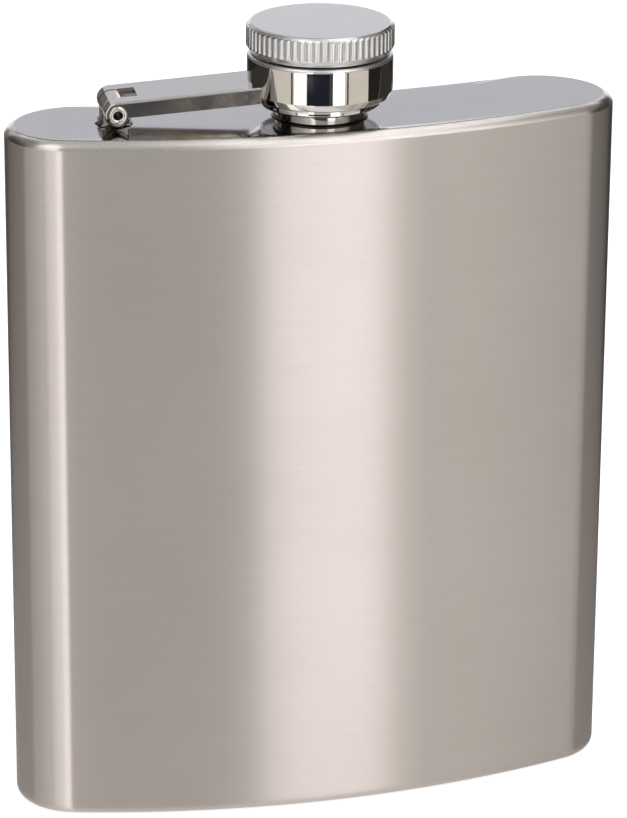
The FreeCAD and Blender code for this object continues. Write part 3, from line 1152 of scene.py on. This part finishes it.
@dataclass
class CollarCup(Assembly):
    """The cup that the cap turns in, and the ring that keeps it captive."""

    wall: float = 0.95 * MM
    bevel_width: float = 1.45 * MM
    bevel_height: float = 1.4 * MM
    taper: Pair = (0.42 * MM, 0.42 * MM)
    rim_rounding: float = 0.55 * MM
    web_thickness: float = 0.6 * MM
    web_recess: float = 0.95 * MM
    web_hole: float = 7.76 * MM
    ring_room: float = 9.0 * MM
    ring_bevel: float = 0.2 * MM
    ring_bore: float = 7.75 * MM
    lip_room: float = 8.25 * MM
    lip_height: float = 0.55 * MM
    easing: float = 0.1 * MM
    satin_share: float = 0.8
    segments: int = 200

    def cup(self) -> Piece:
        """The cup with its web.

        Returns:
            The cup, its faces numbered as plated and satin.
        """
        low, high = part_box("collar_cup")
        outside = high.x
        web_top = high.z - self.web_recess
        web_under = web_top - self.web_thickness
        ease = self.easing
        piece = smoothed(turned("cup", rounded((
            (self.ring_room, low.z, ease / 2.0),
            (outside - self.bevel_width, low.z, ease / 2.0),
            (outside - self.taper[0], low.z + self.taper[1], ease * 3.0),
            (outside, low.z + self.bevel_height, ease * 2.0),
            (outside, high.z, self.rim_rounding),
            (outside - self.wall, high.z, ease),
            (outside - self.wall, web_top, ease),
            (self.web_hole, web_top, ease),
            (self.web_hole, web_under, ease),
            (self.ring_room, web_under, ease),
        )), self.segments))
        satin = high.z - self.rim_rounding * self.satin_share
        for face in piece.data.polygons:
            face.material_index = int(face.center.z > satin)
        return piece

    def ring(self) -> Piece:
        """The ring that turns with the sleeve's lip.

        Returns:
            The ring.
        """
        low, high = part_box("retaining_ring")
        outside = high.x
        ease = self.easing / 2.0
        return smoothed(turned("captive_ring", rounded((
            (self.lip_room, low.z, ease),
            (outside - self.ring_bevel, low.z, ease),
            (outside, low.z + self.ring_bevel, ease),
            (outside, high.z, ease),
            (self.ring_bore, high.z, ease),
            (self.ring_bore, low.z + self.lip_height, ease),
            (self.lip_room, low.z + self.lip_height, ease),
        )), self.segments))

    def build(self) -> None:
        """Make and dress the cup and the ring."""
        plating = Chrome().material("cup_plating")
        rim = SatinSteel(colour=(0.80, 0.79, 0.78), shade=(0.74, 0.73, 0.72), roughness=0.30,
                         roughness_change=0.04).material("cup_rim_satin")
        dressed(self.cup(), (plating, rim), Body.ARM, Slot.CUP, "collar_cup")
        dressed(self.ring(), plating, Body.CARRIER, Slot.CUP, "retaining_ring")


@dataclass(frozen=True)
class Knurl:
    """The ridges round the cap's head, from their foot up to the head's bevel."""

    outside: float
    foot: float
    top: float
    bevel_width: float
    bevel_slope: float
    depth: float
    count: int = 60
    root: float = 0.05 * MM
    root_share: float = 0.45
    # how far out of the core and how wide to each side a ridge is, as shares of depth and pitch
    sides: tuple[Pair, ...] = ((0.30, 0.43), (0.62, 0.36), (0.86, 0.25), (1.0, 0.10))
    drop: float = 0.02 * MM
    crease_deg: float = 50.0

    def ridge(self) -> Piece:
        """One ridge of the knurl at +X, cut along the head's bevel and set on its foot.

        Returns:
            The ridge.
        """
        core = self.outside - self.depth
        pitch = TURN * self.outside / self.count
        lines = [(core - self.root, self.root_share * pitch)]
        lines += [(core + out * self.depth, half * pitch) for out, half in self.sides]
        section = [(x, -y) for x, y in lines] + lines[::-1]
        shape = bmesh.new()
        foot, top = [], []
        for x, y in section:
            bevel = max(0.0, x - self.outside + self.bevel_width) * self.bevel_slope
            foot.append(shape.verts.new((x, y, self.foot)))
            top.append(shape.verts.new((x, y, self.top - bevel - self.drop)))
        for n, corner in enumerate(foot):
            m = (n + 1) % len(foot)
            shape.faces.new((corner, foot[m], top[m], top[n]))
        shape.faces.new(top)
        shape.faces.new(foot[::-1])
        bmesh.ops.recalc_face_normals(shape, faces=shape.faces)
        return from_shape("knurl_ridge", shape)

    def tree(self) -> bpy.types.GeometryNodeTree:
        """The node tree that sets a ridge round the head again and again.

        Returns:
            The tree, with the ridge, their number and their finish as inputs.
        """
        tree = bpy.data.node_groups.new("knurl", "GeometryNodeTree")
        for name, way, kind in (
            ("Geometry", "INPUT", "NodeSocketGeometry"),
            ("Ridge", "INPUT", "NodeSocketObject"),
            ("Ridges", "INPUT", "NodeSocketInt"),
            ("Finish", "INPUT", "NodeSocketMaterial"),
            ("Geometry", "OUTPUT", "NodeSocketGeometry"),
        ):
            tree.interface.new_socket(name, in_out=way, socket_type=kind)
        graph = Graph(tree)
        given = graph.add("NodeGroupInput").outputs
        points = graph.add("GeometryNodePoints", {"Count": given["Ridges"]})
        number = graph.add("GeometryNodeInputIndex")
        share = graph.add("ShaderNodeMath", {0: number.outputs[0], 1: given["Ridges"]},
                          operation="DIVIDE")
        turn = graph.add("ShaderNodeMath", {0: share.outputs[0], 1: TURN}, operation="MULTIPLY")
        axis = graph.add("ShaderNodeCombineXYZ", {"Z": turn.outputs[0]})
        ridge = graph.add("GeometryNodeObjectInfo", {"Object": given["Ridge"]},
                          transform_space="ORIGINAL")
        place = graph.add("GeometryNodeInstanceOnPoints", {
            "Points": points.outputs[0], "Instance": ridge.outputs["Geometry"],
            "Rotation": axis.outputs[0],
        })
        real = graph.add("GeometryNodeRealizeInstances", {0: place.outputs[0]})
        dress = graph.add("GeometryNodeSetMaterial", {
            "Geometry": real.outputs[0], "Material": given["Finish"]})
        graph.add("NodeGroupOutput", {0: dress.outputs[0]})
        return tree

    def build(self, name: str, finish: Material) -> Piece:
        """All the ridges as one mesh.

        Args:
            name: The piece's name.
            finish: The ridges' material.

        Returns:
            The ridges.
        """
        ridge, tree = self.ridge(), self.tree()
        piece = bpy.data.objects.new(name, bpy.data.meshes.new(name))
        bpy.context.scene.collection.objects.link(piece)
        modifier = piece.modifiers.new("knurl", "NODES")
        modifier.node_group = tree
        sockets = {item.name: item.identifier for item in tree.interface.items_tree
                   if item.in_out == "INPUT"}
        modifier[sockets["Ridge"]] = ridge
        modifier[sockets["Ridges"]] = self.count
        modifier[sockets["Finish"]] = finish
        baked(piece)
        bpy.data.objects.remove(ridge)
        return smoothed(piece, self.crease_deg)


@dataclass
class Cap(Assembly):
    """The screw cap: knurled head, threaded sleeve and seal."""

    bevel_width: float = 0.65 * MM
    bevel_height: float = 0.6 * MM
    foot_inset: float = 0.62 * MM
    foot_height: float = 0.95 * MM
    easing: float = 0.06 * MM
    top_rounding: float = 0.4 * MM
    head_segments: int = 180
    head_crease_deg: float = 25.0
    knurl_depth: float = 0.38 * MM
    sleeve_radius: float = 7.7 * MM
    sleeve_insert: float = 0.9 * MM
    sleeve_row: float = 0.1 * MM
    bore_radius: float = 6.8 * MM
    bore_rounding: float = 0.15 * MM
    lip_radius: float = 8.2 * MM
    lip_height: float = 0.45 * MM
    lip_rounding: float = 0.08 * MM
    fillet: float = 0.05 * MM
    thread_gap: float = 0.6 * MM
    seal_dish: Pair = (4.6 * MM, 4.9 * MM)
    seal_dish_depth: float = 0.12 * MM
    seal_rounding: float = 0.15 * MM
    seal_segments: int = 96

    def head(self) -> Piece:
        """The head without its ridges.

        Returns:
            The head.
        """
        low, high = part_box("cap_head")
        outside = high.x
        core = outside - self.knurl_depth
        ease = self.easing
        socket = low.z + self.sleeve_insert
        slope = self.bevel_height / self.bevel_width
        profile = rounded((
            (0.0, socket, 0.0),
            (self.sleeve_radius, socket, 0.0),
            (self.sleeve_radius, low.z, ease),
            (outside - self.foot_inset, low.z, ease * 2.0),
            (outside - ease, low.z + self.foot_height, ease * 2.0),
            (core, low.z + self.foot_height + self.knurl_depth / 2.0, 0.0),
            (core, high.z - (core - outside + self.bevel_width) * slope, 0.0),
            (outside - self.bevel_width, high.z, self.top_rounding),
            (0.0, high.z, 0.0),
        ))
        return smoothed(turned("cap_head_core", profile, self.head_segments), self.head_crease_deg)

    def knurl(self) -> Knurl:
        """The knurl that fits the head.

        Returns:
            The knurl.
        """
        low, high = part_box("cap_head")
        return Knurl(outside=high.x, foot=low.z + self.foot_height, top=high.z,
                     bevel_width=self.bevel_width, bevel_slope=self.bevel_height / self.bevel_width,
                     depth=self.knurl_depth)

    def sleeve(self) -> Piece:
        """The sleeve with the thread cut inside it.

        Returns:
            The sleeve.
        """
        low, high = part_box("cap_sleeve")
        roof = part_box("cap_seal")[1].z
        thread = Thread(radius=self.bore_radius, start=low.z + self.thread_gap)
        return thread.cut("threaded_sleeve", rounded((
            (self.bore_radius, low.z, self.bore_rounding),
            (self.lip_radius, low.z, self.lip_rounding),
            (self.lip_radius, low.z + self.lip_height, self.lip_rounding),
            (self.sleeve_radius, low.z + self.lip_height, self.fillet),
            (self.sleeve_radius, high.z, 0.0),
            (0.0, high.z, 0.0),
            (0.0, roof, 0.0),
            (self.bore_radius, roof, 0.0),
        )), self.sleeve_row)

    def seal(self) -> Piece:
        """The soft disc, eased at its edge and dished where the rim presses it.

        Returns:
            The disc.
        """
        low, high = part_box("cap_seal")
        radius = high.x
        inner, outer = self.seal_dish
        dished = low.z + self.seal_dish_depth
        return smoothed(turned("seal_disc", rounded((
            (0.0, dished, 0.0),
            (inner, dished, self.fillet),
            (outer, low.z, 2.0 * self.fillet),
            (radius, low.z, self.seal_rounding),
            (radius, high.z, self.seal_rounding),
            (0.0, high.z, 0.0),
        )), self.seal_segments))

    def build(self) -> None:
        """Make and dress the cap's pieces."""
        satin = SatinSteel().material("cap_satin")
        ridged = SatinSteel(colour=(0.86, 0.86, 0.86), shade=(0.78, 0.78, 0.785), roughness=0.29,
                            roughness_change=0.03).material("knurl_satin")
        dressed(self.head(), satin, Body.CAP, Slot.HEAD, "cap_head")
        dressed(self.knurl().build("knurl_ridges", ridged), ridged, Body.CAP, Slot.HEAD)
        dressed(self.sleeve(), TurnedSteel().material("sleeve_steel"), Body.CAP, Slot.SLEEVE,
                "cap_sleeve")
        dressed(self.seal(), Silicone().material("seal_silicone"), Body.CAP, Slot.SEAL, "cap_seal")


# --------------------------------------------------------------------- studio


@dataclass(frozen=True)
class Viewpoint:
    """Where the camera stands and how its picture is framed."""

    azimuth_deg: float = -15.66
    elevation_deg: float = 21.3
    distance: float = 0.64073
    target: Triple = (0.0, -0.0001, 0.04439)
    roll_deg: float = 0.45
    lens: float = 186.5
    sensor: float = 36.0
    shift_x: float = -0.0040
    shift_y: float = 0.1195
    clip: Pair = (0.01, 50.0)

    def build(self) -> None:
        """Create the camera and make it the scene's."""
        azimuth, elevation = math.radians(self.azimuth_deg), math.radians(self.elevation_deg)
        back = Vector((math.sin(azimuth) * math.cos(elevation),
                       -math.cos(azimuth) * math.cos(elevation), math.sin(elevation)))
        right = Vector((math.cos(azimuth), math.sin(azimuth), 0.0))
        up = back.cross(right)
        roll = math.radians(self.roll_deg)
        side = right * math.cos(roll) + up * math.sin(roll)
        top = up * math.cos(roll) - right * math.sin(roll)
        data = bpy.data.cameras.new("viewpoint")
        data.lens = self.lens
        data.sensor_fit = "AUTO"
        data.sensor_width = self.sensor
        data.shift_x, data.shift_y = self.shift_x, self.shift_y
        data.clip_start, data.clip_end = self.clip
        camera = bpy.data.objects.new("viewpoint", data)
        place = Matrix((side, top, back)).transposed().to_4x4()
        place.translation = Vector(self.target) + back * self.distance
        camera.matrix_world = place
        bpy.context.scene.collection.objects.link(camera)
        bpy.context.scene.camera = camera


@dataclass(frozen=True)
class Card:
    """A soft panel or a dark flag of the light tent, placed by direction from the object.

    Azimuths are degrees round from the camera, towards +X; elevations are degrees from level.
    The colour runs to far_colour across the azimuths. A card with a smaller reach hides the
    others behind it.
    """

    name: str
    azimuth: Pair
    elevation: Pair
    colour: Colour
    far_colour: Colour | None = None
    reach: float = 3.0


@dataclass(frozen=True)
class Lamp:
    """A large soft disc of light that reflections don't see."""

    name: str
    place: Triple
    size: float
    power: float

    def build(self, target: Vector) -> None:
        """Create the lamp.

        Args:
            target: The point that it is aimed at.
        """
        data = bpy.data.lights.new(self.name, "AREA")
        data.shape = "DISK"
        data.size = self.size
        data.energy = self.power
        lamp = bpy.data.objects.new(self.name, data)
        lamp.location = self.place
        lamp.rotation_euler = (target - lamp.location).to_track_quat("-Z", "Y").to_euler()
        lamp.visible_glossy = False
        bpy.context.scene.collection.objects.link(lamp)


# Bands of elevation in degrees. The cup, the strap and the neck mirror the slit.
SLIT = (-18.0, -13.0)
LOW = (-60.0, -22.0)


@dataclass
class Studio:
    """The pale floor, the soft lamps and the light tent that the metal reflects.

    Colours and levels are shares of white.
    """

    facing_deg: float = Viewpoint.azimuth_deg
    tent_radius: float = 4.0
    tent_colour: Colour = (0.62, 0.60, 0.58)
    card_step_deg: float = 4.0
    ambient: float = 0.75
    floor_radius: float = 6.0
    floor_segments: int = 64
    floor_paint: float = 0.35
    floor_glow: float = 0.74
    floor_plain: float = 0.8
    middle: float = 0.06

    lamps: tuple[Lamp, ...] = (
        Lamp("soft_top", (0.1, -0.3, 1.6), 1.6, 26.0),
        Lamp("soft_left", (-1.3, -1.0, 1.0), 1.0, 10.0),
        Lamp("soft_right", (1.4, -0.9, 0.9), 1.0, 10.0),
    )
    cards: tuple[Card, ...] = (
        # the sides of the tent, as the wall mirrors them
        Card("front", (-20.5, 20.5), (-20.0, 22.0), (0.56, 0.55, 0.54)),
        Card("front_high", (-20.5, 20.5), (22.0, 60.0), (0.42, 0.42, 0.43)),
        Card("front_low", (-20.5, 20.5), (-60.0, -20.0), (0.58, 0.54, 0.49)),
        Card("strip_right_low", (20.5, 38.0), LOW, (0.70, 0.67, 0.64), (0.78, 0.75, 0.72)),
        Card("strip_right", (20.5, 38.0), (-22.0, 60.0), (1.42, 1.37, 1.35), (1.80, 1.74, 1.72)),
        Card("strip_left", (-40.0, -20.5), (-60.0, 60.0), (0.78, 0.75, 0.73), (1.06, 1.03, 1.01)),
        Card("corner_line", (-20.5, -10.5), (-20.0, 20.0), (1.9, 1.84, 1.8), reach=2.9),
        Card("corner_line_low", (-20.5, -10.5), (-60.0, -20.0), (1.35, 1.3, 1.26), reach=2.9),
        Card("strip_high", (38.5, 68.0), (24.0, 60.0), (1.8, 1.75, 1.72), (1.2, 1.16, 1.14)),
        Card("side_right", (38.0, 66.0), (-60.0, 24.0), (0.64, 0.62, 0.58), (0.59, 0.57, 0.54)),
        Card("turn_right_low", (66.0, 82.0), LOW, (0.60, 0.58, 0.55), (0.38, 0.36, 0.34)),
        Card("turn_right", (66.0, 82.0), (-22.0, 24.0), (0.60, 0.58, 0.55), (0.24, 0.225, 0.21)),
        Card("turn_left_low", (-84.0, -40.0), LOW, (0.62, 0.60, 0.57), (0.76, 0.73, 0.71)),
        Card("turn_left", (-84.0, -40.0), (-22.0, 60.0), (0.26, 0.25, 0.24), (0.68, 0.655, 0.635)),
        Card("rear_right_low", (82.0, 180.0), LOW, (0.60, 0.575, 0.55)),
        Card("rear_right", (82.0, 180.0), (-22.0, 24.0), (0.20, 0.19, 0.18), (0.12, 0.115, 0.11)),
        Card("rear_left_low", (-180.0, -84.0), LOW, (0.68, 0.65, 0.62)),
        Card("rear_left", (-180.0, -84.0), (-22.0, 14.0), (0.12, 0.115, 0.11), (0.26, 0.25, 0.24)),
        Card("rear_left_high", (-140.0, -84.0), (34.0, 60.0), (0.25, 0.24, 0.23)),
        # the slit, and the flags behind the object
        Card("gap", (-20.5, 20.5), SLIT, (0.015, 0.018, 0.026), reach=2.8),
        Card("gap_edge", (15.5, 20.5), SLIT, (0.09, 0.088, 0.09), (0.028, 0.027, 0.03), reach=2.7),
        Card("light_right", (20.5, 39.5), SLIT, (1.6, 1.55, 1.52), (1.85, 1.8, 1.75), reach=2.8),
        Card("light_left", (-41.0, -20.5), SLIT, (1.5, 1.45, 1.42), reach=2.8),
        Card("seam_right", (43.0, 46.0), SLIT, (0.05, 0.05, 0.05), reach=2.7),
        Card("seam_left", (-46.0, -43.0), SLIT, (0.05, 0.05, 0.05), reach=2.7),
        Card("panel_right", (39.5, 82.0), SLIT, (0.76, 0.70, 0.62), reach=2.8),
        Card("panel_left", (-84.0, -41.0), SLIT, (0.68, 0.63, 0.56), (0.78, 0.72, 0.64), reach=2.8),
        Card("flag_right", (82.0, 158.0), (-20.0, -8.0), (0.022, 0.018, 0.015), reach=2.8),
        Card("flag_left", (-156.0, -84.0), (-20.0, -8.0), (0.022, 0.018, 0.015), reach=2.8),
        # what the top plate and its ground edge mirror
        Card("flag_right_high", (82.0, 158.0), (6.0, 34.0), (0.05, 0.046, 0.043), reach=2.8),
        Card("flag_left_high", (-138.0, -84.0), (6.0, 34.0), (0.05, 0.046, 0.043), reach=2.8),
        Card("backdrop_high", (140.0, 220.0), (34.0, 60.0), (1.15, 1.15, 1.18), reach=2.8),
        Card("rear_right_high", (84.0, 140.0), (34.0, 60.0), (0.25, 0.24, 0.23)),
        Card("edge_light", (-72.0, -22.0), (42.0, 76.0), (1.9, 1.84, 1.80), reach=2.9),
        Card("backdrop", (158.0, 202.0), (-6.0, 34.0), (1.2, 1.2, 1.23), reach=2.7),
        Card("backdrop_middle", (158.0, 202.0), (12.5, 20.0), (0.62, 0.625, 0.675), reach=2.6),
        Card("backdrop_shade", (167.0, 205.0), (24.0, 55.0), (0.10, 0.08, 0.06), reach=2.6),
        # above and below
        Card("overhead", (0.0, 360.0), (60.0, 90.0), (0.58, 0.58, 0.585)),
        Card("overhead_right", (24.0, 166.0), (60.0, 84.0), (1.5, 1.47, 1.45), reach=2.9),
        Card("table", (0.0, 360.0), (-90.0, -60.0), (0.85, 0.83, 0.81)),
    )

    def emitter(self) -> Material:
        """A glowing material that takes its colour from the mesh.

        Returns:
            The material.
        """
        finish = Finish("glowing_card")
        colour = finish.add("ShaderNodeAttribute", attribute_name="glow")
        return finish.surface(finish.add("ShaderNodeEmission", {"Color": colour.outputs["Color"]}))

    def patch(self, card: Card) -> Piece:
        """The card as a part of a sphere about the object.

        Args:
            card: The card.

        Returns:
            Its mesh, coloured.
        """
        shape = bmesh.new()
        glow = shape.verts.layers.float_color.new("glow")
        first, last = (math.radians(angle + self.facing_deg) for angle in card.azimuth)
        low, high = (math.radians(angle) for angle in card.elevation)
        across = max(2, round(math.degrees(last - first) / self.card_step_deg))
        upward = max(2, round(math.degrees(high - low) / self.card_step_deg))
        near, far = Vector(card.colour), Vector(card.far_colour or card.colour)
        grid = []
        for row in range(upward + 1):
            elevation = low + (high - low) * row / upward
            line = []
            for column in range(across + 1):
                azimuth = first + (last - first) * column / across
                corner = shape.verts.new((
                    card.reach * math.sin(azimuth) * math.cos(elevation),
                    -card.reach * math.cos(azimuth) * math.cos(elevation),
                    card.reach * math.sin(elevation) + self.middle,
                ))
                corner[glow] = (*near.lerp(far, column / across), 1.0)
                line.append(corner)
            grid.append(line)
        for row in range(upward):
            for column in range(across):
                shape.faces.new((grid[row][column], grid[row][column + 1],
                                 grid[row + 1][column + 1], grid[row + 1][column]))
        bmesh.ops.remove_doubles(shape, verts=shape.verts, dist=SAME_POINT)
        return from_shape(f"card_{card.name}", shape)

    def tent(self) -> None:
        """The light tent and its cards, which only reflections see."""
        whole = Card("tent", (0.0, 360.0), (-90.0, 90.0), self.tent_colour, reach=self.tent_radius)
        glowing = self.emitter()
        for card in (whole, *self.cards):
            panel = self.patch(card)
            panel.data.materials.append(glowing)
            panel.visible_camera = False
            panel.visible_diffuse = False
            panel.visible_transmission = False
            panel.visible_shadow = False

    def floor(self) -> None:
        """A plain pale floor that keeps the object's shadow."""
        finish = Finish("pale_floor")
        paint, plain = (
            finish.add("ShaderNodeBsdfDiffuse", {"Color": (level, level, level, 1.0)})
            for level in (self.floor_paint, self.floor_plain)
        )
        glow = finish.add("ShaderNodeEmission", {"Color": WHITE, "Strength": self.floor_glow})
        pale = finish.add("ShaderNodeAddShader", {0: paint.outputs[0], 1: glow.outputs[0]})
        ground = CAD_BOX[0].z
        rings = [circle(self.floor_radius, ground, self.floor_segments), [Vector((0.0, 0.0, ground))]]
        piece = skin("floor", rings, closed=False)
        piece.data.materials.append(finish.surface(finish.add("ShaderNodeMixShader", {
            0: finish.seen(), 1: plain.outputs[0], 2: pale.outputs[0]})))
        piece.visible_glossy = False

    def world(self) -> None:
        """White to the eye and in reflections, a plain level for the rest."""
        world = bpy.data.worlds.new("studio")
        world.use_nodes = True
        bpy.context.scene.world = world
        graph = Graph(world.node_tree)
        plain = graph.add("ShaderNodeBackground", {"Color": WHITE, "Strength": self.ambient})
        white = graph.add("ShaderNodeBackground", {"Color": WHITE})
        mix = graph.add("ShaderNodeMixShader", {
            0: graph.seen(), 1: plain.outputs[0], 2: white.outputs[0]})
        graph.add("ShaderNodeOutputWorld", {"Surface": mix.outputs[0]})

    def build(self) -> None:
        """Set up the whole studio."""
        self.tent()
        self.floor()
        for lamp in self.lamps:
            lamp.build(Vector((0.0, 0.0, self.middle)))
        self.world()
        bpy.context.scene.view_settings.view_transform = "Standard"


def main() -> None:
    """Build every sub-assembly in order, then the studio."""
    logging.basicConfig(level=logging.INFO, format="%(name)s: %(message)s")
    assemblies: tuple[Assembly, ...] = (FlaskShell(), Neck(), Hinge(), CollarCup(), Cap())
    for assembly in assemblies:
        assembly.build()
    Studio().build()
    Viewpoint().build()


if __name__ == "__main__":
    main()
